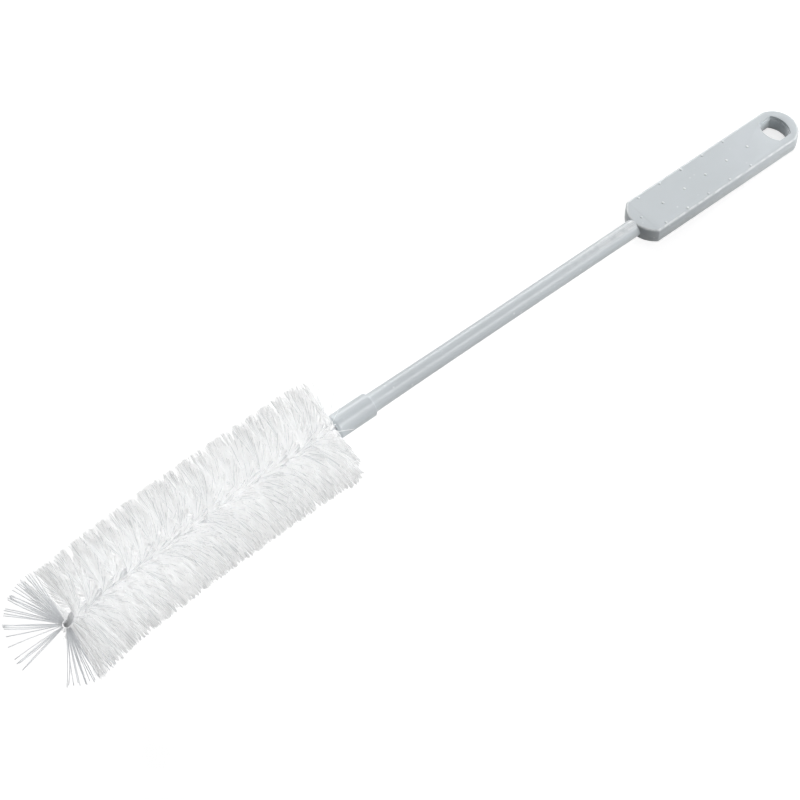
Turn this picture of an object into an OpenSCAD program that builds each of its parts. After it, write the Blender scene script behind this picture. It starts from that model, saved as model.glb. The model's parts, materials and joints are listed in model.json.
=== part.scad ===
// Bottle brush, lying as it comes to rest on a flat surface.
// A wire bent double is twisted over a layer of filaments, which stand out as two spiral
// flights. A fan of stouter filaments is caught in the wire's end bend. The twisted wire is
// anchored in the collar of a one-piece moulded handle with a flat grip.
// The pieces are built along the brush's own axis: +X from the wire's end bend to the grip's
// end, +Z across the grip's thickness. lying() then tips them on to the ground.

/* [Bristle head] */
// Diameter over the bristle tips
head_d = 60; // [30:1:90]
// Distance from the wire's end bend to the first bristles
head_front = 5.8; // [5.5:0.1:12]
// Length of wire that carries bristles
head_length = 165.5; // [80:0.5:240]
// Length of one full turn of the twist
twist_pitch = 16.86; // [14:0.02:24]
// Thickness of the bristle layer between the two wire strands
layer_t = 0.7; // [0.4:0.05:0.8]
// Thickness of a flight half way out
flight_mid_t = 2.6; // [1:0.1:3.4]
// Thickness of a flight at its rim
flight_rim_t = 4.6; // [1.5:0.1:6]
// How far the short tufts of the rim stand back from the long ones
tuft_step = 0.8; // [0:0.1:4]

/* [Core wire] */
// Diameter of the wire
wire_d = 3.1; // [2:0.1:3.6]
// Gap between the two strands, which the bristle layer fills
strand_gap = 0.8; // [0.8:0.05:1.2]
// Angle of the end bend about the axis, from +Y towards +Z
eye_angle = 112; // [0:1:360]
// Sideways bend of the worn core at its end
core_bend = 8; // [0:0.5:12]
// How sharply that bend grows towards the end
bend_power = 2.6; // [2:0.1:4]
// Length of wire held in the handle
anchor_length = 42; // [20:1:80]
// Clearance between the twisted wire and its socket
socket_clearance = 0.1; // [0.05:0.05:0.3]

/* [Tip fan] */
// Reach of the fan's filaments from the wire's end bend
fan_reach = 31; // [15:0.5:45]
// Width of one fan filament
fan_filament_w = 0.55; // [0.3:0.05:0.9]
// Thickness of the fan
fan_t = 0.5; // [0.3:0.05:0.7]
// Radius of the packed root that wraps the end bend
fan_root_r = 2.7; // [2.4:0.1:2.9]
// Angle of the fan's plane about the axis, from +Y towards +Z
fan_angle = 22; // [0:1:360]

/* [Handle rod and collar] */
// Diameter of the collar that holds the wire
collar_d = 13.5; // [11:0.1:20]
// Length of the collar
collar_length = 23.5; // [12:0.5:40]
// Distance between the last bristles' roots and the collar
collar_gap = 1.2; // [1:0.1:3]
// Diameter of the rod beside the collar
rod_root_d = 10.7; // [9:0.1:11]
// Diameter of the rod where it meets the grip
rod_neck_d = 10; // [7:0.1:10.5]
// Length of the rod between collar and grip
rod_length = 183.5; // [80:0.5:300]
// Rounding of the collar's ends
collar_round = 1.2; // [0.3:0.1:1.3]

/* [Grip] */
// Length of the grip
grip_length = 120; // [90:1:160]
// Width of the grip
grip_w = 26.4; // [22:0.2:27]
// Thickness of the grip
grip_t = 10; // [8:0.1:12]
// Radius of the grip's end at the rod
near_end_r = 15.8; // [14:0.1:30]
// Radius of the grip's far end
far_end_r = 13.7; // [13.6:0.1:30]
// Rounding of the grip's edges
edge_round = 0.9; // [0.3:0.1:1.5]

/* [Hanging hole] */
// Length of the hanging hole along the grip, at its mouth
hole_length = 14.4; // [10:0.2:18]
// Width of the hanging hole across the grip, at its mouth
hole_w = 16.4; // [10:0.2:18]
// Radius of the hole's two curved sides
hole_arc_r = 12.5; // [9.5:0.1:20]
// Plastic left between the hole's mouth and the grip's far end
hole_rim = 6; // [4:0.1:12]
// Width of the ledge inside each mouth
ledge_w = 0.6; // [0.2:0.1:1]
// Depth of the ledge below the face
ledge_depth = 1.8; // [0.5:0.1:3]

/* [Grip pips] */
// Diameter of a pip
pip_d = 1.2; // [0.6:0.1:2]
// Height of a pip
pip_h = 0.25; // [0.1:0.05:0.6]
// Spacing of the pips along a row
pip_pitch = 15.9; // [8:0.1:24]
// Distance from the middle row to an outer row
pip_row_gap = 11; // [6:0.2:11]
// Distance from the grip's end at the rod to the first pip
pip_first = 5.8; // [4:0.1:12]
// Number of pips in the middle row
pip_count = 6; // [2:1:6]

/* [Hidden] */
$fn = 96;
eps = 0.01;

// Twisted core
strand_r = (wire_d + strand_gap) / 2;         // from the axis to a strand's centre line
eye_x = strand_r + wire_d / 2;                // centre of the end bend; its outside is at x = 0
twist_lead = twist_pitch / 360 * 180 / PI;    // advance for each radian of twist
wire_sides = 8;
wire_steps = 12;                              // rings for each turn of the twist
bend_steps = 8;

// Bristle head
head_r = head_d / 2;
head_back = head_front + head_length;
flight_steps = 24;                            // stations for each turn of the twist
core_r = strand_r + wire_d / 2;               // outside of the twisted pair
flight_root_t = 1;

// Handle, from the collar's mouth to the grip's end
collar_x = head_back + collar_gap;
rod_x = collar_x + collar_length;
grip_x = rod_x + rod_length;
end_x = grip_x + grip_length;
near_x = grip_x + near_end_r;                 // centre of the near end's arc
far_x = end_x - far_end_r;                    // centre of the far end's arc
hole_x = end_x - hole_rim - hole_length / 2;
socket_d = 2 * (core_r + socket_clearance);
socket_spare = wire_d / 2;                    // room beyond the wire's cut ends
anchor_x = collar_x + anchor_length;
rod_bite = 3;                                 // how far the rod runs on inside the grip

// Groups of filaments in the fan: [first angle, last angle, number], from the edge of the
// fan's plane at 0 through straight ahead at 90
fan_groups = [[-9, 42, 20], [50, 62, 5], [71, 71, 1], [83, 97, 6], [141, 178, 16], [182, 191, 4]];

// Sideways place of the bent core, and its slope
function bend_at(x) = x < collar_x ? -core_bend * pow(1 - x / collar_x, bend_power) : 0;
function slope_at(x) = x < collar_x
    ? atan(core_bend * bend_power / collar_x * pow(1 - x / collar_x, bend_power - 1)) : 0;

// A point given from the core at x: along it, and across it in y and z
function on_core(x, along, across, up) = [
    x + along * cos(slope_at(x)) - across * sin(slope_at(x)),
    bend_at(x) + along * sin(slope_at(x)) + across * cos(slope_at(x)),
    up
];

// Angle of the strands about the axis; the twist is left-handed
function strand_angle(x) = eye_angle - 360 * (x - eye_x) / twist_pitch;
function strand_point(x, side) = on_core(
    x, 0, side * strand_r * cos(strand_angle(x)), side * strand_r * sin(strand_angle(x)));

// Direction square to the strands' plane, which guides the rings of the wire
function strand_normal(x) = [0, -sin(strand_angle(x)), cos(strand_angle(x))];

// The whole wire: in along one strand, round the end bend and back along the other
strand_count = ceil((anchor_x - eye_x) / twist_pitch * wire_steps);
function strand_x(i) = anchor_x + (eye_x - anchor_x) * i / strand_count;
wire_route = concat(
    [for (i = [0:strand_count]) strand_point(strand_x(i), 1)],
    [for (i = [1:bend_steps - 1]) on_core(
        eye_x,
        -strand_r * sin(180 * i / bend_steps),
        strand_r * cos(180 * i / bend_steps) * cos(eye_angle),
        strand_r * cos(180 * i / bend_steps) * sin(eye_angle))],
    [for (i = [strand_count:-1:0]) strand_point(strand_x(i), -1)]
);
wire_guides = concat(
    [for (i = [0:strand_count]) strand_normal(strand_x(i))],
    [for (i = [1:bend_steps - 1]) strand_normal(eye_x)],
    [for (i = [strand_count:-1:0]) strand_normal(strand_x(i))]
);

function unit(v) = v / norm(v);
function heading(route, i) = unit(
    route[min(i + 1, len(route) - 1)] - route[max(i - 1, 0)]);

// Faces of a closed tube of rings, each with the same number of sides
function tube_faces(rings, sides) = concat(
    [[for (k = [0:sides - 1]) k]],
    [for (i = [0:rings - 2], k = [0:sides - 1]) [
        i * sides + k, (i + 1) * sides + k, i * sides + (k + 1) % sides]],
    [for (i = [0:rings - 2], k = [0:sides - 1]) [
        (i + 1) * sides + k, (i + 1) * sides + (k + 1) % sides, i * sides + (k + 1) % sides]],
    [[for (k = [sides - 1:-1:0]) (rings - 1) * sides + k]]
);

// Half the thickness of the bristle layer at a distance from the axis
function half_t(r) = lookup(r, [
    [0, layer_t / 2], [core_r, flight_root_t / 2],
    [head_r * 0.55, flight_mid_t / 2], [head_r, flight_rim_t / 2]]);

// The bristle layer is one twisted sheet: stations along the core, each a row of points from
// one rim through the axis to the other, on the front face and back again on the rear face
layer_radii = [-1, -0.55, -0.117, 0.117, 0.55, 1];
station_count = round(head_length / twist_pitch * flight_steps);
function station_x(i) = head_front + head_length * i / station_count;
function rim_r(i) = head_r - tuft_step * (i % 2);
function layer_point(i, share, face) =
    let (x = station_x(i), r = share * rim_r(i), a = strand_angle(x) + 90,
         tilt = sqrt(r * r + twist_lead * twist_lead), h = face * half_t(abs(r)),
         along = h * r / tilt, over = h * twist_lead / tilt)
    on_core(x, along, r * cos(a) - over * sin(a), r * sin(a) + over * cos(a));
layer_sides = 2 * len(layer_radii);
layer_points = [
    for (i = [0:station_count], k = [0:layer_sides - 1])
        k < len(layer_radii)
            ? layer_point(i, layer_radii[k], -1)
            : layer_point(i, layer_radii[layer_sides - 1 - k], 1)
];

// At rest: tipped until the last bristles and the grip's far end both just touch the ground
function bristles_low(a) = max([for (p = layer_points) p.x * sin(a) - p.z * cos(a)]);
function grip_low(a) =
    (end_x - edge_round) * sin(a) + (grip_t / 2 - edge_round) * cos(a) + edge_round;
function settle(a, tries) = tries == 0 ? a
    : settle(a + asin((bristles_low(a) - grip_low(a)) / (end_x - head_back)), tries - 1);
rest_angle = settle(atan((head_r - grip_t / 2) / (end_x - head_back)), 3);
rest_lift = grip_low(rest_angle);
mid_x = (end_x + wire_d / 2 - fan_reach) / 2 * cos(rest_angle) + grip_t / 4 * sin(rest_angle);
mid_y = bend_at(head_front) / 2;

// Lays the brush on the ground with the origin under the middle of its outline
module lying() {
    translate([-mid_x, -mid_y, rest_lift]) rotate([0, rest_angle, 0]) children();
}

// Cross-section of a rounded plate, right half only, for turning
module plate_section(r) {
    union() {
        translate([0, -grip_t / 2]) square([r - edge_round, grip_t]);
        translate([0, edge_round - grip_t / 2]) square([r, grip_t - 2 * edge_round]);
        for (side = [-1, 1])
            translate([r - edge_round, side * (grip_t / 2 - edge_round)]) circle(edge_round);
    }
}

// Straight bar with the grip's width, thickness and rounded edges
module grip_bar() {
    translate([grip_x - eps, 0, 0]) rotate([90, 0, 90])
        linear_extrude(grip_length + 2 * eps) union() {
            square([grip_w - 2 * edge_round, grip_t], center = true);
            square([grip_w, grip_t - 2 * edge_round], center = true);
            for (y = [-1, 1], z = [-1, 1])
                translate([y * (grip_w / 2 - edge_round), z * (grip_t / 2 - edge_round)])
                    circle(edge_round);
        }
}

// Lens-shaped hole with flat sides, made smaller all round by inset
module hole_outline(inset) {
    half = hole_length / 2 - inset;
    intersection() {
        translate([half - hole_arc_r, 0]) circle(hole_arc_r);
        translate([hole_arc_r - half, 0]) circle(hole_arc_r);
        square([2 * hole_length, hole_w - 2 * inset], center = true);
    }
}

module hanging_hole() {
    translate([hole_x, 0, 0]) {
        translate([0, 0, -grip_t / 2 - eps])
            linear_extrude(grip_t + 2 * eps) hole_outline(ledge_w);
        for (side = [-1, 1])
            translate([0, 0, side * (grip_t - ledge_depth) / 2 + side * eps])
                linear_extrude(ledge_depth + 2 * eps, center = true) hole_outline(0);
    }
}

// Three staggered rows of pips on each face of the grip
module grip_pips() {
    for (row = [-1:1], i = [0:pip_count - 1 - abs(row)])
        translate([grip_x + pip_first + pip_pitch * (i + abs(row) / 2), row * pip_row_gap, 0])
            cylinder(d = pip_d, h = grip_t + 2 * pip_h, center = true, $fn = 24);
}

module grip() {
    difference() {
        union() {
            intersection() {
                union() {
                    translate([near_x, 0, 0]) rotate_extrude() intersection() {
                        plate_section(near_end_r);
                        translate([0, -grip_t]) square([2 * near_end_r, 2 * grip_t]);
                    }
                    translate([far_x, 0, 0]) rotate_extrude() intersection() {
                        plate_section(far_end_r);
                        translate([0, -grip_t]) square([2 * far_end_r, 2 * grip_t]);
                    }
                    translate([near_x, -grip_w / 2, -grip_t / 2])
                        cube([far_x - near_x, grip_w, grip_t]);
                }
                grip_bar();
            }
            grip_pips();
        }
        hanging_hole();
    }
}

// Rod and collar turned as one: section from the collar's mouth to inside the grip
module rod_and_collar() {
    round_x = collar_length - collar_round;
    rotate([0, 90, 0]) rotate_extrude() union() {
        translate([0, collar_x]) square([collar_d / 2 - collar_round, collar_length]);
        translate([0, collar_x + collar_round])
            square([collar_d / 2, collar_length - 2 * collar_round]);
        for (x = [collar_round, round_x])
            intersection() {
                translate([collar_d / 2 - collar_round, collar_x + x]) circle(collar_round);
                translate([0, collar_x]) square([collar_d, collar_length]);
            }
        polygon([
            [0, rod_x - eps], [rod_root_d / 2, rod_x - eps],
            [rod_neck_d / 2, grip_x], [rod_neck_d / 2, grip_x + rod_bite],
            [0, grip_x + rod_bite]
        ]);
    }
}

// One moulding: collar, rod and flat grip, with a blind socket for the twisted wire
module handle() {
    color([0.80, 0.82, 0.83]) lying() difference() {
        union() {
            rod_and_collar();
            grip();
        }
        translate([collar_x - eps, 0, 0]) rotate([0, 90, 0])
            cylinder(d = socket_d, h = anchor_length + socket_spare + eps);
    }
}

// One wire, bent double and twisted
module core_wire() {
    points = [
        for (i = [0:len(wire_route) - 1])
            let (h = heading(wire_route, i), u = unit(cross(h, wire_guides[i])), v = cross(h, u))
            for (k = [0:wire_sides - 1])
                let (a = 360 * k / wire_sides)
                wire_route[i] + wire_d / 2 * (cos(a) * u + sin(a) * v)
    ];
    color([0.66, 0.67, 0.68]) lying()
        polyhedron(points, tube_faces(len(wire_route), wire_sides));
}

// All the white filaments: a layer through the twisted wire that stands out as two flights
module bristles() {
    color([0.94, 0.95, 0.95]) lying()
        polyhedron(layer_points, tube_faces(station_count + 1, layer_sides));
}

// Outline of the fan: a point at each filament's tip corners and at each gap between two
fan_angles = [
    for (g = fan_groups, i = [0:g[2] - 1]) g[0] + (g[1] - g[0]) * i / max(g[2] - 1, 1)];
function fan_dir(a) = [-sin(a), cos(a)];
function fan_gap_r(i) = min(fan_reach, fan_filament_w / 2 / sin((fan_angles[i + 1] - fan_angles[i]) / 2));
fan_half = asin(fan_filament_w / 2 / fan_root_r);
fan_outline = [
    for (i = [0:len(fan_angles) - 1])
        let (a = fan_angles[i], side = [cos(a), sin(a)] * fan_filament_w / 2,
             reach = fan_reach - (i % 3) * fan_filament_w)
        each concat(
            [reach * fan_dir(a) + side, reach * fan_dir(a) - side],
            i == len(fan_angles) - 1 ? []
                : fan_gap_r(i) > fan_root_r
                    ? [fan_gap_r(i) * fan_dir((a + fan_angles[i + 1]) / 2)]
                    : [fan_root_r * fan_dir(a + fan_half),
                       fan_root_r * fan_dir(fan_angles[i + 1] - fan_half)]
        ),
    [0, 0]
];

// The stout filaments at the end, with their packed root round the wire's end bend
module tip_fan() {
    color([0.70, 0.71, 0.73]) lying()
        translate([eye_x, bend_at(eye_x), 0]) rotate([0, 0, slope_at(eye_x)])
        rotate([fan_angle, 0, 0]) translate([-strand_r, 0, 0]) difference() {
            translate([0, 0, -fan_t / 2]) linear_extrude(fan_t) union() {
                polygon(fan_outline);
                circle(fan_root_r);
            }
            cylinder(d = wire_d + 2 * socket_clearance, h = 2 * fan_t, center = true);
        }
}

handle();
core_wire();
bristles();
tip_fan();
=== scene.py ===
import json
import math

import bmesh
import bpy
import numpy as np
from mathutils import Matrix, Vector


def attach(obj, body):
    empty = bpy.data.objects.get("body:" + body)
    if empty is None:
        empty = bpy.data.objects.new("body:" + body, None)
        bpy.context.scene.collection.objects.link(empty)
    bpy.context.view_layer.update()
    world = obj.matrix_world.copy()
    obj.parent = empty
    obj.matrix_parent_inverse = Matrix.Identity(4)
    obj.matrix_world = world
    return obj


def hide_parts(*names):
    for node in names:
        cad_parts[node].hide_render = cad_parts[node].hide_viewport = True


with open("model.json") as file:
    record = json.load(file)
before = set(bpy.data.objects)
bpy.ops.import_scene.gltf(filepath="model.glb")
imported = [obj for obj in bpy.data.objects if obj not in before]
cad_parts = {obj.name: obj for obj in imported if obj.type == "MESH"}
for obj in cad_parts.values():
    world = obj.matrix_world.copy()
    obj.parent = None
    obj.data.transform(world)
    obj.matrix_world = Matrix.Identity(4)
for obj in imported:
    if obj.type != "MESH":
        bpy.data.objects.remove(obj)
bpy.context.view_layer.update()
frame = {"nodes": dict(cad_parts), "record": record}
rng = np.random.default_rng(11)
print("frame loaded, nodes:", ", ".join(sorted(frame["nodes"])))

# The brush lies tipped on the ground. Its pieces are modelled straight along X, from the wire's
# end bend at 0 to the grip's end, and laid in place at the end.
collarMount = next(m for m in frame["record"]["mounts"] if m["name"] == "collar")
collarMiddle = 0.18425  # where the collar mount sits along the brush
axisAlong = Vector(collarMount["axis"]).normalized()
axisUp = axisAlong.cross(Vector((0, 1, 0))).normalized()
brushOrigin = Vector(collarMount["pos_m"]) - axisAlong * collarMiddle
brushToRow = Matrix((
    (axisAlong.x, 0, axisUp.x, brushOrigin.x),
    (axisAlong.y, 1, axisUp.y, brushOrigin.y),
    (axisAlong.z, 0, axisUp.z, brushOrigin.z),
    (0, 0, 0, 1),
))

core = {
    "wireRadius": 0.00155,
    "strandRadius": 0.00195,  # from the axis to a strand's centre line
    "pitch": 0.01686,
    "eyeAngle": 112.0,  # of the end bend, from +Y towards +Z
    "bend": 0.008,  # sideways, at the worn tip
    "bendPower": 2.6,
    "straightFrom": 0.1725,  # the collar's mouth
    "anchorEnd": 0.2145,
    "stepsPerTurn": 28,
    "bendSteps": 13,
}
eyeX = core["strandRadius"] + core["wireRadius"]
nearly = 1e-6  # places closer together than this count as one


def bendAt(x):
    left = np.clip(1 - np.asarray(x) / core["straightFrom"], 0, None)
    return -core["bend"] * left ** core["bendPower"]


def slopeAt(x):
    left = np.clip(1 - np.asarray(x) / core["straightFrom"], 0, None)
    rise = core["bend"] * core["bendPower"] / core["straightFrom"]
    return np.arctan(rise * left ** (core["bendPower"] - 1))


def onCore(x, along, across, up):  # a point given from the bent core at x
    slope = slopeAt(x)
    return np.stack([
        x + along * np.cos(slope) - across * np.sin(slope),
        bendAt(x) + along * np.sin(slope) + across * np.cos(slope),
        up + 0 * x,
    ], axis=-1)


def strandAngle(x):  # of the first strand about the axis; the twist is left-handed
    return math.radians(core["eyeAngle"]) - 2 * math.pi * (x - eyeX) / core["pitch"]


# modelling helpers

def clearSelection():
    if bpy.context.object and bpy.context.object.mode != "OBJECT":
        bpy.ops.object.mode_set(mode="OBJECT")
    bpy.ops.object.select_all(action="DESELECT")


def makeActive(piece):
    clearSelection()
    piece.select_set(True)
    bpy.context.view_layer.objects.active = piece


def pick(piece, kind, test):  # in edit mode, selects the edges or verts that pass the test
    bpy.ops.mesh.select_mode(type={"edges": "EDGE", "verts": "VERT"}[kind])
    bpy.ops.mesh.select_all(action="DESELECT")
    cage = bmesh.from_edit_mesh(piece.data)
    for part in getattr(cage, kind):
        if test(part):
            part.select_set(True)
    cage.select_flush_mode()
    bmesh.update_edit_mesh(piece.data)


def edgeMiddle(edge):
    return (edge.verts[0].co + edge.verts[1].co) / 2


def useBoolean(piece, other, operation):
    makeActive(piece)
    step = piece.modifiers.new("join", "BOOLEAN")
    step.operation = operation
    step.solver = "EXACT"
    step.object = other
    bpy.ops.object.modifier_apply(modifier=step.name)
    bpy.data.objects.remove(other)


def applyPlace(piece):
    makeActive(piece)
    bpy.ops.object.transform_apply(location=True, rotation=True, scale=True)


def layDown(piece):  # from the brush's own axis to its place on the ground
    piece.data.transform(brushToRow)
    piece.data.update()


def finishPiece(piece, material, replaced):
    piece.data.materials.clear()
    piece.data.materials.append(material)
    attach(piece, "root")
    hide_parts(replaced)


# materials

def newMaterial(name):
    made = bpy.data.materials.new(name)
    made.use_nodes = True
    nodes = made.node_tree.nodes
    return made, nodes, made.node_tree.links, nodes["Principled BSDF"]


def addRamp(nodes, links, source, stops):
    ramp = nodes.new("ShaderNodeValToRGB")
    for at, value in stops[2:]:
        ramp.color_ramp.elements.new(at)
    for element, (at, value) in zip(ramp.color_ramp.elements, sorted(stops)):
        element.position = at
        element.color = (*value, 1) if isinstance(value, tuple) else (value, value, value, 1)
    links.new(source, ramp.inputs["Fac"])
    return ramp.outputs["Color"]


def addNoise(nodes, links, place, size, detail=2):
    noise = nodes.new("ShaderNodeTexNoise")
    noise.inputs["Scale"].default_value = size
    noise.inputs["Detail"].default_value = detail
    links.new(place, noise.inputs["Vector"])
    return noise.outputs["Fac"]


def addMath(nodes, links, operation, first, second):
    step = nodes.new("ShaderNodeMath")
    step.operation = operation
    links.new(first, step.inputs[0])
    links.new(second, step.inputs[1])
    return step.outputs[0]


def addRange(nodes, links, source, fromRange, toRange):
    step = nodes.new("ShaderNodeMapRange")
    step.inputs["From Min"].default_value, step.inputs["From Max"].default_value = fromRange
    step.inputs["To Min"].default_value, step.inputs["To Max"].default_value = toRange
    links.new(source, step.inputs["Value"])
    return step


def addBump(nodes, links, height, strength, depth):
    bump = nodes.new("ShaderNodeBump")
    bump.inputs["Strength"].default_value = strength
    bump.inputs["Distance"].default_value = depth
    links.new(height, bump.inputs["Height"])
    return bump


# sizes are noise scales, and depths are in metres
plasticLook = {
    "colour": (0.540, 0.577, 0.598),
    "paler": (0.570, 0.605, 0.632),  # cloudy patches in the moulding
    "cloudSize": 38.0,
    "cloudDetail": 3,
    # pale from wear on the specks, and a painted highlight on the edges and pip tops
    "paleWearAndHighlightColour": (0.80, 0.82, 0.83),
    "speckSize": 230,
    "speckEdge": [(0.08, 0.7), (0.17, 0.0)],  # how a speck fades from its middle
    "patchSize": 60,  # the specks come in patches
    "patchEdge": [(0.44, 0.0), (0.54, 1.0)],
    "specksFrom": 0.16,  # all of them are left near the grip's neck end, and fewer past there
    "specksTo": 0.20,
    "specksPast": 0.30,
    "unevenSize": 320,  # breaks up the worn edges and their painted highlight
    "unevenEdge": [(0.38, 0.35), (0.58, 1.0)],
    "roughness": 0.285,
    "duller": 0.025,
    "glossier": 0.005,
    "wearSize": 90,
    "wearDetail": 4,
    "grainSize": 2600.0,  # the fine grain of the mould
    "grainStrength": 0.35,
    "grainDepth": 0.00002,
    "scratchSize": (40, 900, 900),  # long ones, along the grip
    "scratchDetail": 3,
    "scratchEdge": [(0.60, 0.0), (0.66, 1.0)],
    "scratchStrength": 0.3,
    "scratchDepth": 0.00002,
    "specular": 0.38,
}


def paleWearAndHighlight(nodes, links, place):  # how far the plastic is painted pale: worn specks, and the pip tops and edges, which carry mostly a painted highlight and partly rub
    look = plasticLook
    specks = nodes.new("ShaderNodeTexVoronoi")
    specks.inputs["Scale"].default_value = look["speckSize"]
    links.new(place, specks.inputs["Vector"])
    speck = addRamp(nodes, links, specks.outputs["Distance"], look["speckEdge"])
    patch = addNoise(nodes, links, place, look["patchSize"])
    patch = addRamp(nodes, links, patch, look["patchEdge"])
    speck = addMath(nodes, links, "MULTIPLY", speck, patch)
    apart = nodes.new("ShaderNodeSeparateXYZ")
    links.new(place, apart.inputs[0])
    fewer = addRange(
        nodes, links, apart.outputs["X"],
        (look["specksFrom"], look["specksTo"]), (1, look["specksPast"]))
    worn = addMath(nodes, links, "MULTIPLY", speck, fewer.outputs[0])
    rubAndHighlightMarks = nodes.new("ShaderNodeAttribute")
    rubAndHighlightMarks.attribute_name = "rubbed"
    uneven = addNoise(nodes, links, place, look["unevenSize"])
    uneven = addRamp(nodes, links, uneven, look["unevenEdge"])
    highlightAndRub = addMath(nodes, links, "MULTIPLY", rubAndHighlightMarks.outputs["Fac"], uneven)
    return addMath(nodes, links, "MAXIMUM", worn, highlightAndRub)


def mouldedPlastic():
    look = plasticLook
    made, nodes, links, shader = newMaterial("greyMoulding")
    place = nodes.new("ShaderNodeTexCoord").outputs["Object"]
    clouds = addNoise(nodes, links, place, look["cloudSize"], look["cloudDetail"])
    tint = addRamp(nodes, links, clouds, [(0.35, look["colour"]), (0.72, look["paler"])])
    blend = nodes.new("ShaderNodeMix")
    blend.data_type = "RGBA"
    blend.inputs["B"].default_value = (*look["paleWearAndHighlightColour"], 1)
    links.new(paleWearAndHighlight(nodes, links, place), blend.inputs["Factor"])
    links.new(tint, blend.inputs["A"])
    links.new(blend.outputs["Result"], shader.inputs["Base Color"])

    wear = addNoise(nodes, links, place, look["wearSize"], look["wearDetail"])
    sheen = addRamp(nodes, links, wear, [
        (0.2, look["roughness"] - look["glossier"]), (0.8, look["roughness"] + look["duller"])])
    links.new(sheen, shader.inputs["Roughness"])

    grain = addNoise(nodes, links, place, look["grainSize"])
    grainBump = addBump(nodes, links, grain, look["grainStrength"], look["grainDepth"])
    stretch = nodes.new("ShaderNodeMapping")
    stretch.inputs["Scale"].default_value = look["scratchSize"]
    links.new(place, stretch.inputs["Vector"])
    scratch = addNoise(nodes, links, stretch.outputs["Vector"], 1, look["scratchDetail"])
    scratch = addRamp(nodes, links, scratch, look["scratchEdge"])
    scratchBump = addBump(nodes, links, scratch, look["scratchStrength"], look["scratchDepth"])
    links.new(grainBump.outputs["Normal"], scratchBump.inputs["Normal"])
    links.new(scratchBump.outputs["Normal"], shader.inputs["Normal"])
    shader.inputs["Specular IOR Level"].default_value = look["specular"]
    return made


wireLook = {
    # the colours are partly the pale zinc's own grey and partly painted light, set paler to lift
    # the wire out of the shade among the filaments
    "colour": (0.78, 0.79, 0.80),
    "paler": (0.86, 0.87, 0.88),
    "roughness": 0.5,
    "duller": 0.12,
    "glossier": 0.08,
    "crystalSize": 900,  # faint zinc crystals
    "hazeSize": 400,
    "hazeDetail": 4,
    "bumpStrength": 0.25,
    "bumpDepth": 0.00004,
    "metallic": 0.05,  # the zinc has gone dull; its pale colour above is partly painted light
    "specular": 0.25,
}


def galvanisedWire():
    look = wireLook
    made, nodes, links, shader = newMaterial("galvanisedWire")
    place = nodes.new("ShaderNodeTexCoord").outputs["Object"]
    crystals = nodes.new("ShaderNodeTexVoronoi")
    crystals.inputs["Scale"].default_value = look["crystalSize"]
    links.new(place, crystals.inputs["Vector"])
    haze = addNoise(nodes, links, place, look["hazeSize"], look["hazeDetail"])
    tint = addRamp(nodes, links, haze, [(0.3, look["colour"]), (0.7, look["paler"])])
    links.new(tint, shader.inputs["Base Color"])
    sheen = addRamp(nodes, links, crystals.outputs["Color"], [
        (0.0, look["roughness"] - look["glossier"]), (1.0, look["roughness"] + look["duller"])])
    links.new(sheen, shader.inputs["Roughness"])
    bump = addBump(nodes, links, haze, look["bumpStrength"], look["bumpDepth"])
    links.new(bump.outputs["Normal"], shader.inputs["Normal"])
    shader.inputs["Metallic"].default_value = look["metallic"]
    shader.inputs["Specular IOR Level"].default_value = look["specular"]
    return made


# dull, dark and light are the shades of single filaments; in the white nylon the dull shade is
# painted shade, dark streaks that stand in for the shadowed gaps between tufts. glow is the light
# through one, and the emission strength is a painted glow that stands in for the light that
# scatters on through a bundle
whiteNylon = {
    "name": "whiteNylon",
    # painted shade: the dark streaks that stand in for the shadowed gaps between tufts
    "dull": (0.60, 0.62, 0.63),
    "dark": (0.95, 0.955, 0.96),
    "light": (0.995, 0.995, 0.995),
    "glow": (0.985, 0.985, 0.985),
    "glowShare": 0.30,
    "alpha": 0.88,
    "paintedGlow": 0.22,
    "roughness": 0.38,
}
# the grey shades are partly the grey nylon's own colour and partly painted light, set paler to lift
# the tip fan out of the shade it sits in; its emission is a painted glow too
greyNylon = {
    "name": "greyNylon",
    "dull": (0.70, 0.71, 0.73),
    "dark": (0.76, 0.77, 0.79),
    "light": (0.90, 0.91, 0.92),
    "glow": (0.78, 0.79, 0.80),
    "glowShare": 0.50,
    "alpha": 1.0,
    "paintedGlow": 0.18,
    "roughness": 0.34,
}
crimp = {"size": 700, "strength": 0.2, "depth": 0.00003}


def nylon(look):  # each filament has its own shade, kept in an attribute
    made, nodes, links, shader = newMaterial(look["name"])
    shade = nodes.new("ShaderNodeAttribute")
    shade.attribute_name = "filamentShade"
    tint = addRamp(nodes, links, shade.outputs["Fac"], [
        (0.0, look["dull"]), (0.2, look["dark"]), (1.0, look["light"])])
    links.new(tint, shader.inputs["Base Color"])
    shader.inputs["Roughness"].default_value = look["roughness"]
    shader.inputs["Alpha"].default_value = look["alpha"]
    shader.inputs["Emission Color"].default_value = (1, 1, 1, 1)
    # a painted glow: emission that stands in for the light scattered on through the bundle
    shader.inputs["Emission Strength"].default_value = look["paintedGlow"]
    place = nodes.new("ShaderNodeTexCoord").outputs["Object"]
    height = addNoise(nodes, links, place, crimp["size"])
    bump = addBump(nodes, links, height, crimp["strength"], crimp["depth"])
    links.new(bump.outputs["Normal"], shader.inputs["Normal"])
    through = nodes.new("ShaderNodeBsdfTranslucent")
    through.inputs["Color"].default_value = (*look["glow"], 1)
    both = nodes.new("ShaderNodeMixShader")
    both.inputs["Fac"].default_value = look["glowShare"]
    links.new(shader.outputs["BSDF"], both.inputs[1])
    links.new(through.outputs["BSDF"], both.inputs[2])
    links.new(both.outputs["Shader"], nodes["Material Output"].inputs["Surface"])
    return made


# filaments

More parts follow.
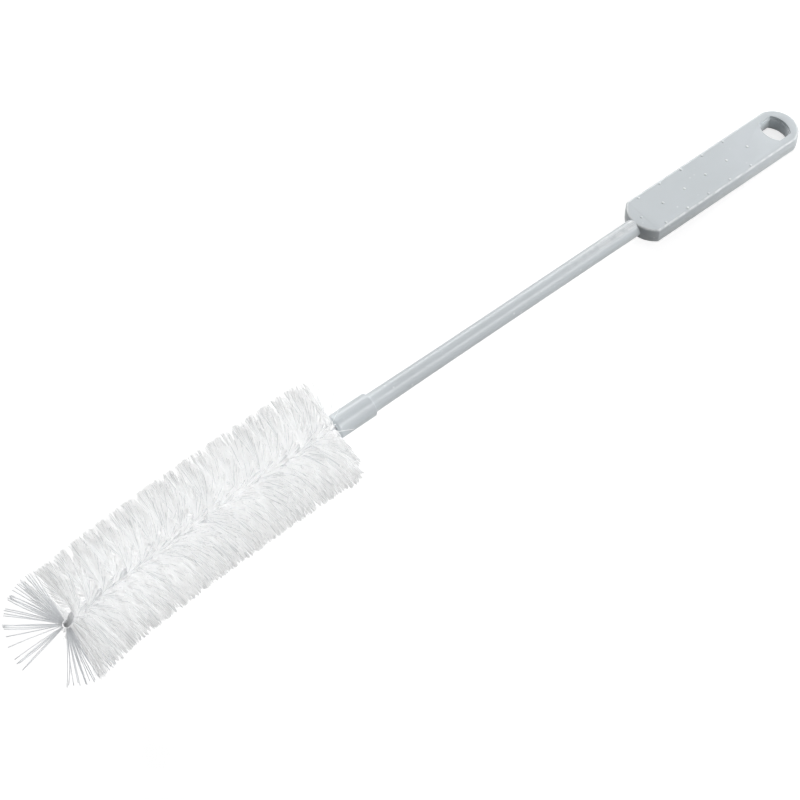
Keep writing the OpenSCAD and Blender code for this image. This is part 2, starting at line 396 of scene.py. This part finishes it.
def modelStrand(sides, segments):  # one filament, a metre across and one long, standing on Z
    clearSelection()
    bpy.ops.mesh.primitive_circle_add(vertices=sides, radius=1, fill_type="NOTHING")
    strand = bpy.context.object
    bpy.ops.object.mode_set(mode="EDIT")
    bpy.ops.mesh.select_all(action="SELECT")
    bpy.ops.mesh.edge_face_add()
    bpy.ops.mesh.select_all(action="SELECT")
    for step in range(segments):
        bpy.ops.mesh.extrude_region_move(TRANSFORM_OT_translate={"value": (0, 0, 1 / segments)})
    bpy.ops.mesh.select_all(action="SELECT")
    bpy.ops.mesh.normals_make_consistent(inside=False)
    bpy.ops.object.mode_set(mode="OBJECT")
    points = np.array([v.co[:] for v in strand.data.vertices])
    faces = [list(f.vertices) for f in strand.data.polygons]
    bpy.data.objects.remove(strand)
    return points, faces


def plantFilaments(name, paths, radius, shades, sides):
    # one strand is copied along each path; paths is filament by point by place
    count, stations = paths.shape[:2]
    points, faces = modelStrand(sides, stations - 1)
    level = np.rint(points[:, 2] * (stations - 1)).astype(int)
    heading = np.gradient(paths, axis=1)
    heading /= np.linalg.norm(heading, axis=2, keepdims=True)
    guide = np.array([1.0, 0.02, 0.01])
    sideways = np.cross(heading, guide)
    sideways /= np.linalg.norm(sideways, axis=2, keepdims=True)
    outward = np.cross(heading, sideways)
    verts = (
        paths[:, level]
        + radius[:, None, None] * points[None, :, :1] * sideways[:, level]
        + radius[:, None, None] * points[None, :, 1:2] * outward[:, level]
    )
    size = len(points)
    corners = np.concatenate([np.array(f) for f in faces])
    lengths = np.array([len(f) for f in faces])
    loopVerts = (corners[None, :] + size * np.arange(count)[:, None]).ravel()
    loopTotals = np.tile(lengths, count)
    loopStarts = np.concatenate([[0], np.cumsum(loopTotals)[:-1]])
    grown = bpy.data.meshes.new(name)
    grown.vertices.add(count * size)
    grown.vertices.foreach_set("co", verts.reshape(-1))
    grown.loops.add(len(loopVerts))
    grown.loops.foreach_set("vertex_index", loopVerts)
    grown.polygons.add(len(loopTotals))
    grown.polygons.foreach_set("loop_start", loopStarts)
    grown.update(calc_edges=True)
    tone = grown.attributes.new("filamentShade", "FLOAT", "POINT")
    tone.data.foreach_set("value", np.repeat(shades, size).astype(np.float32))
    grown.polygons.foreach_set("use_smooth", np.ones(len(loopTotals), dtype=bool))
    piece = bpy.data.objects.new(name, grown)
    bpy.context.scene.collection.objects.link(piece)
    return piece


# lengths in metres; along is along the brush, aside is round it, and shares are from 0 to 1
head = {
    "front": 0.0036,
    "back": 0.1710,
    "radius": 0.0296,
    "filaments": 7600,
    "sides": 3,
    "stations": (-1, -0.70, -0.40, -0.12, 0.12, 0.40, 0.70, 1),  # of a filament, rim to rim
    "filamentRadius": 0.00016,
    "thinnest": 0.85,
    "thickest": 1.15,
    "spacingError": 0.00006,
    "layer": 0.00028,  # half the layer's thickness between the strands
    "flightHalf": 0.0027,  # half a flight's thickness at the rim
    "flightShare": ((0, 0.12, 0.33, 0.67, 1), (0, 0.55, 0.72, 0.88, 1)),  # of it, from the wire out
    "thickSwing": 0.25,  # how much a flight's thickness comes and goes
    "thickLength": 0.006,
    "raggedness": 0.0011,
    "strays": 0.07,
    "strayAlong": 0.0019,
    "strayAside": 0.0028,
    "bow": 0.0006,
    "tuftLength": 0.0005,
    "tuftRows": 3,
    "tuftAlong": 0.0008,  # how far whole tufts lean
    "tuftAside": 0.0010,
    "gatherAlong": 0.65,  # how far a filament is drawn to its tuft's middle at the rim
    "gatherAside": 0.72,
    "sway": 0.0007,  # how far a whole flight leans along the brush
    "swayLength": 0.005,
    "leanPower": 1.4,  # a lean grows faster than the distance from the wire
    "splayPower": 1.5,
    "frontSplay": 0.0040,
    "frontLean": 0.0022,
    "rearSplay": 0.0025,
    "splayLength": 0.020,
    "splayReach": 0.07,  # how much further the bent ends reach
    "splayAngle": -153.0,  # the way the bent ends lean, from +Y towards +Z
    "pressedAngle": 117.0,  # the side on which the rear end is pressed forward
    "pressedSlope": 0.37,
    "rearLimit": 0.1722,
    "rearBulge": 0.002,
    "rearError": 0.0011,
    "loose": 0.05,  # share of the rearmost filaments that curl over the collar
    "looseLength": 0.004,
    "looseCurl": (0.001, 0.003),
    "dull": 0.16,  # share of filaments given the dull shade, painted shade that stands in for the shadowed gaps between tufts
    "shades": (0.25, 0.35, 0.4),  # the darkest, then what its tuft and the filament itself add
    "pieces": 4,
}
tuftKinds = 65536


def wander(places, length):  # a smooth random value along the brush
    knots = np.arange(head["front"] - length, head["back"] + 2 * length, length)
    return np.interp(places, knots, rng.normal(0, 1, len(knots)))


def growHead():  # each filament runs from rim to rim through the wire, so it has two halves
    count = head["filaments"]
    spots = np.linspace(head["front"], head["back"], count)
    spots = spots + rng.normal(0, head["spacingError"], count)
    spots = np.clip(spots, head["front"], head["back"])
    spread = np.interp(np.abs(head["stations"]), *head["flightShare"])
    place = rng.uniform(-1, 1, (count, 2))  # within the flight's thickness
    # neighbours gather into small tufts towards the rim
    cell = np.floor(spots / head["tuftLength"])
    rows = head["tuftRows"]
    row = np.floor((place + 1) / 2 * rows)
    # a scattered number for each tuft, by its cell, its row and its half
    tuft = (cell[:, None] * 7 + row * 1009 + np.array([0, 500009])).astype(int) % tuftKinds
    shift = rng.normal(0, 1, (tuftKinds, 2))[tuft]
    tuftShade = rng.random(tuftKinds)[tuft[:, 0]]
    rowMiddle = (row + 0.5) / rows * 2 - 1
    arcPerX = 2 * math.pi * head["radius"] / core["pitch"]
    fromMiddle = spots - (cell + 0.5) * head["tuftLength"]
    length = head["radius"] - np.abs(rng.normal(0, head["raggedness"], (count, 2)))
    isStray = rng.random((count, 2)) < head["strays"]
    strayAlong = isStray * rng.normal(0, head["strayAlong"], (count, 2))
    strayAside = isStray * rng.normal(0, head["strayAside"], (count, 2))
    bow = rng.normal(0, head["bow"], (count, 2))
    sway = head["sway"] * np.stack([wander(spots, head["swayLength"]) for _ in (0, 1)], axis=1)
    thick = 1 + head["thickSwing"] * np.clip(wander(spots, head["thickLength"]), -1.5, 1.5)
    angle = strandAngle(spots) + math.pi / 2
    # the end flights are bent by use
    lower = np.cos(angle - math.radians(head["splayAngle"]))
    upper = np.cos(angle - math.radians(head["pressedAngle"]))
    toFront = (spots - head["front"]) / head["splayLength"]
    toRear = (head["back"] - spots) / head["splayLength"]
    atFront = np.clip(1 - toFront, 0, 1) ** 1.5
    atRear = np.clip(1 - toRear, 0, 1) ** 1.5
    uneven = rng.normal(0, head["rearError"], (count, 2))
    isRearmost = (spots > head["back"] - head["looseLength"])[:, None]
    isLoose = (rng.random((count, 2)) < head["loose"]) & isRearmost
    curl = rng.uniform(*head["looseCurl"], (count, 2))
    paths = np.zeros((count, len(spread), 3))
    layer = rng.uniform(-head["layer"], head["layer"], count)
    for k, part in enumerate(head["stations"]):
        h = 1 if part > 0 else 0
        out = abs(part)
        lean = out ** head["leanPower"]
        splay = out ** head["splayPower"]
        low = np.maximum(np.sign(part) * lower, 0)
        high = np.maximum(np.sign(part) * upper, 0)
        gather = head["gatherAlong"] * out * (rowMiddle[:, h] - place[:, h])
        along = head["flightHalf"] * thick * spread[k] * (place[:, h] + gather)
        along += (strayAlong[:, h] + head["tuftAlong"] * shift[:, h, 0] + sway[:, h]) * lean
        along -= head["frontSplay"] * atFront * np.maximum(low, 0.8 * high) * splay
        along -= head["frontLean"] * atFront ** 3 * out
        along += head["rearSplay"] * atRear * low * splay
        reach = part * length[:, h]
        reach *= 1 + head["splayReach"] * low * np.maximum(atFront, atRear)
        limit = head["rearLimit"] - head["pressedSlope"] * high * np.abs(reach)
        limit += head["rearBulge"] * low * out
        limit += (uneven[:, h] + 0.3 * strayAlong[:, h]) * out
        pressed = np.minimum(along, limit - spots)
        along = np.where(isLoose[:, h], along + curl[:, h] * out ** 2, pressed)
        aside = head["tuftAside"] * shift[:, h, 1] - head["gatherAside"] * fromMiddle * arcPerX
        aside = (aside + strayAside[:, h]) * lean + bow[:, h] * out ** 3 + layer
        across = reach * np.cos(angle) - aside * np.sin(angle)
        height = reach * np.sin(angle) + aside * np.cos(angle)
        paths[:, k] = onCore(spots, along, across, height)
    darkest, fromTuft, fromItself = head["shades"]
    shades = darkest + fromTuft * tuftShade + fromItself * rng.random(count)
    # the dull filaments are painted shade, dark streaks standing in for the shadowed gaps between
    # tufts
    return paths, np.where(rng.random(count) < head["dull"], 0, shades)


def layPathsDown(paths):
    return paths @ np.array(brushToRow.to_3x3()).T + np.array(brushOrigin)


def plantHead():
    paths, shades = growHead()
    paths = layPathsDown(paths)
    paths[..., 2] = np.maximum(paths[..., 2], head["filamentRadius"])  # pressed on the ground
    material = nylon(whiteNylon)
    ends = np.linspace(0, head["filaments"], head["pieces"] + 1).astype(int)
    for number, (first, last) in enumerate(zip(ends[:-1], ends[1:])):
        girths = rng.uniform(head["thinnest"], head["thickest"], last - first)
        piece = plantFilaments(
            f"whiteFilaments{number + 1}", paths[first:last],
            head["filamentRadius"] * girths, shades[first:last], head["sides"])
        finishPiece(piece, material, "bristles")


print("growing the head")
plantHead()


fan = {
    "radius": 0.031,
    "angle": 22.0,  # of the fan's plane, from +Y towards +Z
    "filamentRadius": 0.00024,
    "sides": 6,
    "rootRadius": 0.0022,
    "raggedness": 0.0008,
    "bow": 0.00135,
    "rise": 0.0009,
    "swingError": 0.35,  # degrees in the fan's plane
    "tiltError": 3,  # degrees out of it
    "stations": 8,
    "groups": [  # first angle, last angle, filaments
        (-9, 42, 20), (50, 62, 5), (71, 71, 1), (83, 97, 6), (141, 178, 16), (182, 191, 4),
    ],
}


def growFan():
    angles, tilts = [], []
    for first, last, number in fan["groups"]:
        for k in range(number):
            share = k / max(number - 1, 1)
            angles.append(first + (last - first) * share + rng.normal(0, fan["swingError"]))
            tilts.append(rng.normal(0, fan["tiltError"]))
    angles, tilts = np.radians(angles), np.radians(tilts)
    count = len(angles)
    share = np.linspace(0, 1, fan["stations"])
    length = fan["radius"] - np.abs(rng.normal(0, fan["raggedness"], count))
    bow = rng.normal(0, fan["bow"], count)
    rise = rng.normal(0, fan["rise"], count)
    reach = fan["rootRadius"] + share[None, :] * (length - fan["rootRadius"])[:, None]
    swing = angles[:, None] + bow[:, None] * share[None, :] ** 2 / fan["radius"]
    forward = -np.sin(swing) * reach
    across = np.cos(swing) * reach
    out = np.sin(tilts)[:, None] * reach * share[None, :] + rise[:, None] * share[None, :] ** 2
    plane = math.radians(fan["angle"])
    along = forward - core["strandRadius"]
    left = across * math.cos(plane) - out * math.sin(plane)
    height = across * math.sin(plane) + out * math.cos(plane)
    return onCore(np.full_like(along, eyeX), along, left, height)


def plantFan():
    paths = layPathsDown(growFan())
    count = len(paths)
    piece = plantFilaments(
        "greyFan", paths, np.full(count, fan["filamentRadius"]), rng.random(count),
        fan["sides"])
    finishPiece(piece, nylon(greyNylon), "tip_fan")


print("growing the tip fan")
plantFan()


# the wire

def wireRoute():
    steps = int((core["anchorEnd"] - eyeX) / core["pitch"] * core["stepsPerTurn"])
    along = np.linspace(core["anchorEnd"], eyeX, steps)
    angle = strandAngle(along)
    reach = core["strandRadius"]
    inward = onCore(along, 0, reach * np.cos(angle), reach * np.sin(angle))
    back = onCore(along, 0, -reach * np.cos(angle), -reach * np.sin(angle))
    turn = np.linspace(0, math.pi, core["bendSteps"] + 1)[1:-1]
    eye = math.radians(core["eyeAngle"])
    bend = onCore(
        np.full(len(turn), eyeX), -reach * np.sin(turn),
        reach * np.cos(turn) * math.cos(eye), reach * np.cos(turn) * math.sin(eye))
    return np.concatenate([inward, bend, back[::-1]])


def modelWire():
    route = wireRoute()
    clearSelection()
    line = bpy.data.curves.new("coreWire", "CURVE")
    line.dimensions = "3D"
    run = line.splines.new("POLY")
    run.points.add(len(route) - 1)
    for point, place in zip(run.points, route):
        point.co = (*place, 1)
    line.bevel_depth = core["wireRadius"]
    line.bevel_resolution = 3
    line.use_fill_caps = True
    wire = bpy.data.objects.new("twistedWire", line)
    bpy.context.scene.collection.objects.link(wire)
    makeActive(wire)
    bpy.ops.object.convert(target="MESH")
    wire = bpy.context.object
    bpy.ops.object.mode_set(mode="EDIT")
    bpy.ops.mesh.select_all(action="SELECT")
    bpy.ops.mesh.remove_doubles(threshold=nearly)
    bpy.ops.mesh.normals_make_consistent(inside=False)
    bpy.ops.object.mode_set(mode="OBJECT")
    bpy.ops.object.shade_smooth_by_angle(angle=math.radians(40))
    layDown(wire)
    return wire


print("twisting the wire")
finishPiece(modelWire(), galvanisedWire(), "core_wire")


# the handle

handle = {
    "collarX": 0.1725,
    "collarRadius": 0.00675,
    "collarLength": 0.0235,
    "collarRound": 0.0012,  # at its mouth
    "collarBackRound": 0.0007,
    "roundSteps": 6,
    "socketRadius": 0.0036,
    "socketDepth": 0.04355,
    "socketBevel": 0.0002,
    "rodRootRadius": 0.00535,
    "rodNeckRadius": 0.00498,
    "rodFillet": (0.0001, 0.0004),  # its height on the rod, and its end behind the collar
    "taperLength": 0.075,  # the rod thins mostly here
    "taperSteps": 4,
    "straightAfter": 0.05,
    "gripX": 0.3795,
    "rodBite": 0.003,  # how far the rod runs into the grip
    "turnSides": 96,
}


def collarAndRodRings():  # places along the axis and radii, from the socket's bottom
    mouth = handle["collarX"]
    end = mouth + handle["collarLength"]
    socket, wide = handle["socketRadius"], handle["collarRadius"]
    root, neck = handle["rodRootRadius"], handle["rodNeckRadius"]
    bevel = handle["socketBevel"]
    quarter = [math.pi / 2 * k / handle["roundSteps"] for k in range(handle["roundSteps"] + 1)]
    rings = [(mouth + handle["socketDepth"], socket), (mouth + bevel, socket)]
    rings.append((mouth, socket + bevel))
    curve = handle["collarRound"]
    for a in quarter:
        rings.append((mouth + curve * (1 - math.cos(a)), wide - curve + curve * math.sin(a)))
    curve = handle["collarBackRound"]
    for a in quarter:
        rings.append((end - curve + curve * math.sin(a), wide - curve + curve * math.cos(a)))
    filletHeight, filletEnd = handle["rodFillet"]
    rings.append((end + filletHeight, root + filletHeight))
    rings.append((end + filletEnd, root))
    for k in range(1, handle["taperSteps"] + 1):
        share = k / handle["taperSteps"]
        thinned = (root - neck) * (1 - (1 - share) ** 2)
        rings.append((end + share * handle["taperLength"], root - thinned))
    rings.append((end + handle["taperLength"] + handle["straightAfter"], neck))
    rings.append((handle["gripX"] + handle["rodBite"], neck))
    return rings


def modelRod():
    rings = collarAndRodRings()
    startX, startRadius = rings[0]
    clearSelection()
    bpy.ops.mesh.primitive_circle_add(
        vertices=handle["turnSides"], radius=startRadius, fill_type="NOTHING",
        location=(startX, 0, 0), rotation=(0, math.pi / 2, 0))
    rod = bpy.context.object
    applyPlace(rod)
    bpy.ops.object.mode_set(mode="EDIT")
    bpy.ops.mesh.select_all(action="SELECT")
    lastX, lastRadius = startX, startRadius
    for ringX, ringRadius in rings[1:]:
        bpy.ops.mesh.extrude_region_move(TRANSFORM_OT_translate={"value": (ringX - lastX, 0, 0)})
        size = ringRadius / lastRadius
        bpy.ops.transform.resize(value=(1, size, size), center_override=(ringX, 0, 0))
        lastX, lastRadius = ringX, ringRadius
    bpy.ops.mesh.edge_face_add()
    pick(rod, "edges", lambda e: e.is_boundary)
    bpy.ops.mesh.edge_face_add()
    bpy.ops.mesh.select_all(action="SELECT")
    bpy.ops.mesh.normals_make_consistent(inside=False)
    bpy.ops.object.mode_set(mode="OBJECT")
    return rod


grip = {
    "length": 0.120,
    "width": 0.0264,
    "thickness": 0.010,
    "nearRadius": 0.0158,
    "farRadius": 0.0137,
    "discSides": 240,
    "edgeRound": 0.0014,
    "edgeRubAndHighlight": 0.75,  # how pale the edges are painted in front and at the neck: mostly a painted highlight along the bevel, partly rub
    "otherRubAndHighlight": 0.3,  # the share of it elsewhere
    "rubAndHighlightBand": (0.02, 0.40),  # from the face down, as shares of the edge's round
    "neckLength": 0.012,
    "holeLength": 0.0144,
    "holeWidth": 0.0164,
    "holeArcRadius": 0.0125,
    "holeSides": 256,
    "holeRim": 0.006,
    "ledgeWidth": 0.0006,
    "ledgeDepth": 0.0018,
    "holeRound": 0.00022,
    "seamHeight": 0.00006,
    "seamHalf": 0.00018,
    "pipRadius": 0.00075,
    "pipHeight": 0.00032,
    "pipRound": 0.00028,
    "pipSides": 20,
    "pipPitch": 0.0159,
    "pipRowGap": 0.011,
    "pipFirst": 0.0058,
    "pipCount": 6,  # in the middle row; the outer rows have one less
}
gripEnd = handle["gripX"] + grip["length"]
nearX = handle["gripX"] + grip["nearRadius"]
farX = gripEnd - grip["farRadius"]
holeX = gripEnd - grip["holeRim"] - grip["holeLength"] / 2
gripTop = grip["thickness"] / 2


def trimmedDisc(centreX, radius, keepSide):
    # a disc with its sides trimmed to the grip's width and one half cut away
    clearSelection()
    bpy.ops.mesh.primitive_cylinder_add(
        vertices=grip["discSides"], radius=radius, depth=grip["thickness"],
        location=(centreX, 0, 0))
    disc = bpy.context.object
    applyPlace(disc)
    bpy.ops.object.mode_set(mode="EDIT")
    half = grip["width"] / 2
    for place, normal in (
            ((0, half, 0), (0, 1, 0)), ((0, -half, 0), (0, -1, 0)),
            ((centreX, 0, 0), (-keepSide, 0, 0))):
        bpy.ops.mesh.select_all(action="SELECT")
        bpy.ops.mesh.bisect(
            plane_co=place, plane_no=normal, use_fill=normal[0] == 0, clear_outer=True,
            threshold=nearly)
    bpy.ops.object.mode_set(mode="OBJECT")
    return disc


def modelGripBody():
    near = trimmedDisc(nearX, grip["nearRadius"], -1)
    far = trimmedDisc(farX, grip["farRadius"], 1)
    makeActive(near)
    far.select_set(True)
    bpy.ops.object.join()
    body = bpy.context.object
    bpy.ops.object.mode_set(mode="EDIT")
    bpy.ops.mesh.select_all(action="SELECT")
    bpy.ops.mesh.remove_doubles(threshold=1e-7)
    pick(body, "edges", lambda e: e.is_boundary)
    bpy.ops.mesh.bridge_edge_loops()
    bpy.ops.mesh.select_all(action="SELECT")
    bpy.ops.mesh.dissolve_limited(angle_limit=math.radians(0.3))
    bpy.ops.mesh.select_all(action="SELECT")
    bpy.ops.mesh.normals_make_consistent(inside=False)
    # the mould's parting line: a low ridge round the middle of the edge
    bpy.ops.mesh.select_all(action="SELECT")
    bpy.ops.mesh.bisect(plane_co=(0, 0, 0), plane_no=(0, 0, 1))
    pick(body, "edges", lambda e: all(abs(v.co.z) < nearly for v in e.verts))
    bpy.ops.mesh.bevel(offset=grip["seamHalf"], segments=2, affect="EDGES")
    pick(body, "verts", lambda v: abs(v.co.z) < nearly)
    bpy.ops.transform.shrink_fatten(value=grip["seamHeight"])
    # rounded rims and corners
    pick(body, "edges", lambda e: all(abs(abs(v.co.z) - gripTop) < nearly for v in e.verts)
         and e.calc_face_angle(0) > 1)
    bpy.ops.mesh.bevel(offset=grip["edgeRound"], segments=6, affect="EDGES")
    bpy.ops.object.mode_set(mode="OBJECT")
    return body


def holeCutter(inset, depth, middleZ):
    # two round blocks crossed, then trimmed flat at both sides
    half = grip["holeLength"] / 2 - inset
    blocks = []
    for side in (-1, 1):
        clearSelection()
        bpy.ops.mesh.primitive_cylinder_add(
            vertices=grip["holeSides"], radius=grip["holeArcRadius"], depth=depth,
            location=(holeX + side * (grip["holeArcRadius"] - half), 0, middleZ))
        blocks.append(bpy.context.object)
        applyPlace(blocks[-1])
    useBoolean(blocks[0], blocks[1], "INTERSECT")
    cutter = blocks[0]
    makeActive(cutter)
    bpy.ops.object.mode_set(mode="EDIT")
    flat = grip["holeWidth"] / 2 - inset
    for side in (-1, 1):
        bpy.ops.mesh.select_all(action="SELECT")
        bpy.ops.mesh.bisect(
            plane_co=(0, side * flat, 0), plane_no=(0, side, 0), use_fill=True, clear_outer=True,
            threshold=nearly)
    bpy.ops.object.mode_set(mode="OBJECT")
    return cutter


def addPips(body):
    tip = gripTop + grip["pipHeight"]
    for line in (-1, 0, 1):
        for k in range(grip["pipCount"] - abs(line)):
            for face in (-1, 1):
                clearSelection()
                x = handle["gripX"] + grip["pipFirst"] + grip["pipPitch"] * (k + abs(line) / 2)
                bpy.ops.mesh.primitive_cylinder_add(
                    vertices=grip["pipSides"], radius=grip["pipRadius"],
                    depth=grip["pipHeight"] * 2,
                    location=(x, line * grip["pipRowGap"], face * gripTop))
                pip = bpy.context.object
                applyPlace(pip)
                bpy.ops.object.mode_set(mode="EDIT")
                pick(pip, "edges", lambda e: all(abs(abs(v.co.z) - tip) < nearly for v in e.verts))
                bpy.ops.mesh.bevel(offset=grip["pipRound"], segments=3, affect="EDGES")
                bpy.ops.object.mode_set(mode="OBJECT")
                useBoolean(body, pip, "UNION")


def atHole(x, y, margin):
    byLength = abs(x - holeX) < grip["holeLength"] / 2 + margin
    return byLength and abs(y) < grip["holeWidth"] / 2 + margin


def isHoleRim(edge):  # the level edges round the hole, where two faces meet squarely
    middle = edgeMiddle(edge)
    level = abs(edge.verts[0].co.z - edge.verts[1].co.z) < nearly
    return level and atHole(middle.x, middle.y, 10 * nearly) and edge.calc_face_angle(0) > 1


def markRubAndHighlight(body):  # the pips' tops and the edges of both faces, painted paler: mostly a painted highlight, partly rub from handling
    bandFrom, bandTo = grip["rubAndHighlightBand"]
    rubAndHighlightMarks = body.data.attributes.new("rubbed", "FLOAT", "POINT")
    for corner, mark in zip(body.data.vertices, rubAndHighlightMarks.data):
        x, y, height = corner.co.x, corner.co.y, abs(corner.co.z)
        past = x - handle["gripX"]
        down = (gripTop - height) / grip["edgeRound"]  # 0 at the face, 1 at the wall
        # the pip tops get a painted highlight; the edges' round gets a painted highlight, partly
        # rub, full in front and at the neck
        if height > gripTop + nearly and past > handle["rodBite"]:
            mark.value = min(1, (height - gripTop) / grip["pipHeight"])
        elif bandFrom < down < bandTo and past > 0 and not atHole(x, y, 0.001):
            share = 1 if y < 0 or past < grip["neckLength"] else grip["otherRubAndHighlight"]
            mark.value = grip["edgeRubAndHighlight"] * share


def modelHandle():
    body = modelGripBody()
    depth = grip["thickness"]
    useBoolean(body, holeCutter(grip["ledgeWidth"], 2 * depth, 0), "DIFFERENCE")
    for face in (-1, 1):
        middle = face * (depth - grip["ledgeDepth"])
        useBoolean(body, holeCutter(0, depth, middle), "DIFFERENCE")
    makeActive(body)
    bpy.ops.object.mode_set(mode="EDIT")
    pick(body, "edges", isHoleRim)
    bpy.ops.mesh.bevel(offset=grip["holeRound"], segments=3, affect="EDGES")
    bpy.ops.object.mode_set(mode="OBJECT")
    addPips(body)
    useBoolean(body, modelRod(), "UNION")
    body.name = "mouldedHandle"
    markRubAndHighlight(body)
    makeActive(body)
    bpy.ops.object.shade_smooth_by_angle(angle=math.radians(35))
    layDown(body)
    return body


print("moulding the handle")
finishPiece(modelHandle(), mouldedPlastic(), "handle")


# floor, light and camera

studio = {
    "floorSize": 1.9,
    "floorBounce": 0.06,  # its colour for the light that it sends back up
    "floorPale": 0.50,  # its colour where the camera sees it
    "floorGlow": 0.72,
    "domeLight": 0.45,
    "domeShade": 0.04,  # on the left, where the dome is dark
    "domeAxis": (0.894, 0.0, 0.447),  # towards its light side
    "shadeFrom": -0.15,  # shares of that axis between which the light falls off
    "shadeTo": 0.5,
    "boxes": [  # name, place, aim, width and height, watts; they don't show in the gloss
        ("backBox", (0.50, 1.30, 0.72), (0.05, 0.0, 0.0), (1.6, 0.8), 19.5),
        ("frontBox", (1.00, -1.08, 0.66), (0.1, 0.0, 0.02), (1.9, 0.8), 22.5),
    ],
    "strips": [  # narrow ones, which show only in the gloss
        ("backStrip", (0.45, 1.10, 0.67), (0.45, 0.0, 0.0), (1.8, 0.26), 13.5),
        ("frontStrip", (0.55, -0.75, 0.85), (0.55, 0.0, 0.0), (1.8, 0.30), 11.5),
    ],
    "lens": 108.7,
    "azimuth": 34.911,
    "elevation": 57.535,
    "roll": -5.545,
    "place": (-0.4063, -0.55009, 1.07309),
}


def seenDirectly(nodes, links):  # camera, mirror and see-through rays
    rays = nodes.new("ShaderNodeLightPath").outputs
    first = addMath(nodes, links, "MAXIMUM", rays["Is Camera Ray"], rays["Is Glossy Ray"])
    return addMath(nodes, links, "MAXIMUM", first, rays["Is Transmission Ray"])


def mixShaders(nodes, links, factor, first, second, target):
    mix = nodes.new("ShaderNodeMixShader")
    links.new(factor, mix.inputs["Fac"])
    links.new(first, mix.inputs[1])
    links.new(second, mix.inputs[2])
    links.new(mix.outputs[0], target.inputs["Surface"])


def makeFloor():
    clearSelection()
    bpy.ops.mesh.primitive_plane_add(size=studio["floorSize"])
    floor = bpy.context.object
    floor.name = "studioFloor"
    made, nodes, links, shader = newMaterial("paleFloor")
    nodes.remove(shader)
    dull = nodes.new("ShaderNodeBsdfDiffuse")
    dull.inputs["Color"].default_value = (*[studio["floorBounce"]] * 3, 1)
    pale = nodes.new("ShaderNodeBsdfDiffuse")
    pale.inputs["Color"].default_value = (*[studio["floorPale"]] * 3, 1)
    glow = nodes.new("ShaderNodeEmission")
    glow.inputs["Strength"].default_value = studio["floorGlow"]
    lit = nodes.new("ShaderNodeAddShader")
    links.new(pale.outputs[0], lit.inputs[0])
    links.new(glow.outputs[0], lit.inputs[1])
    mixShaders(
        nodes, links, seenDirectly(nodes, links), dull.outputs[0], lit.outputs[0],
        nodes["Material Output"])
    floor.data.materials.append(made)


def makeWorld():
    world = bpy.data.worlds.new("paleStudio")
    world.use_nodes = True
    nodes, links = world.node_tree.nodes, world.node_tree.links
    dim = nodes["Background"]
    dim.inputs["Color"].default_value = (1, 1, 1, 1)
    way = nodes.new("ShaderNodeTexCoord")
    share = nodes.new("ShaderNodeVectorMath")
    share.operation = "DOT_PRODUCT"
    share.inputs[1].default_value = studio["domeAxis"]
    links.new(way.outputs["Generated"], share.inputs[0])
    level = addRange(
        nodes, links, share.outputs["Value"],
        (studio["shadeFrom"], studio["shadeTo"]), (studio["domeShade"], studio["domeLight"]))
    level.interpolation_type = "SMOOTHSTEP"
    links.new(level.outputs[0], dim.inputs["Strength"])
    bright = nodes.new("ShaderNodeBackground")
    bright.inputs["Color"].default_value = (1, 1, 1, 1)
    bright.inputs["Strength"].default_value = 1
    mixShaders(
        nodes, links, seenDirectly(nodes, links), dim.outputs[0], bright.outputs[0],
        nodes["World Output"])
    bpy.context.scene.world = world


def addLamps(rows, inGloss):
    for name, place, aim, size, watts in rows:
        clearSelection()
        bpy.ops.object.light_add(type="AREA", location=place)
        lamp = bpy.context.object
        lamp.name = name
        lamp.data.shape = "RECTANGLE"
        lamp.data.size, lamp.data.size_y = size
        lamp.data.energy = watts
        lamp.rotation_euler = (Vector(aim) - Vector(place)).to_track_quat("-Z", "Y").to_euler()
        lamp.visible_glossy = inGloss
        lamp.visible_diffuse = lamp.visible_transmission = not inGloss


def makeCamera():
    clearSelection()
    bpy.ops.object.camera_add(location=studio["place"])
    camera = bpy.context.object
    turn = Matrix.Rotation(-math.radians(studio["azimuth"]), 4, "Z")
    tip = Matrix.Rotation(math.radians(90 - studio["elevation"]), 4, "X")
    roll = Matrix.Rotation(math.radians(studio["roll"]), 4, "Z")
    camera.rotation_euler = (turn @ tip @ roll).to_euler()
    camera.data.lens = studio["lens"]
    camera.data.sensor_width = 36
    camera.data.sensor_fit = "HORIZONTAL"
    bpy.context.scene.camera = camera


print("setting the studio")
makeFloor()
makeWorld()
addLamps(studio["boxes"], False)
addLamps(studio["strips"], True)
makeCamera()
bpy.context.scene.view_settings.view_transform = "Standard"
bpy.context.scene.cycles.diffuse_bounces = 16  # light goes a long way among pale filaments
bpy.context.scene.cycles.max_bounces = 24

clearSelection()
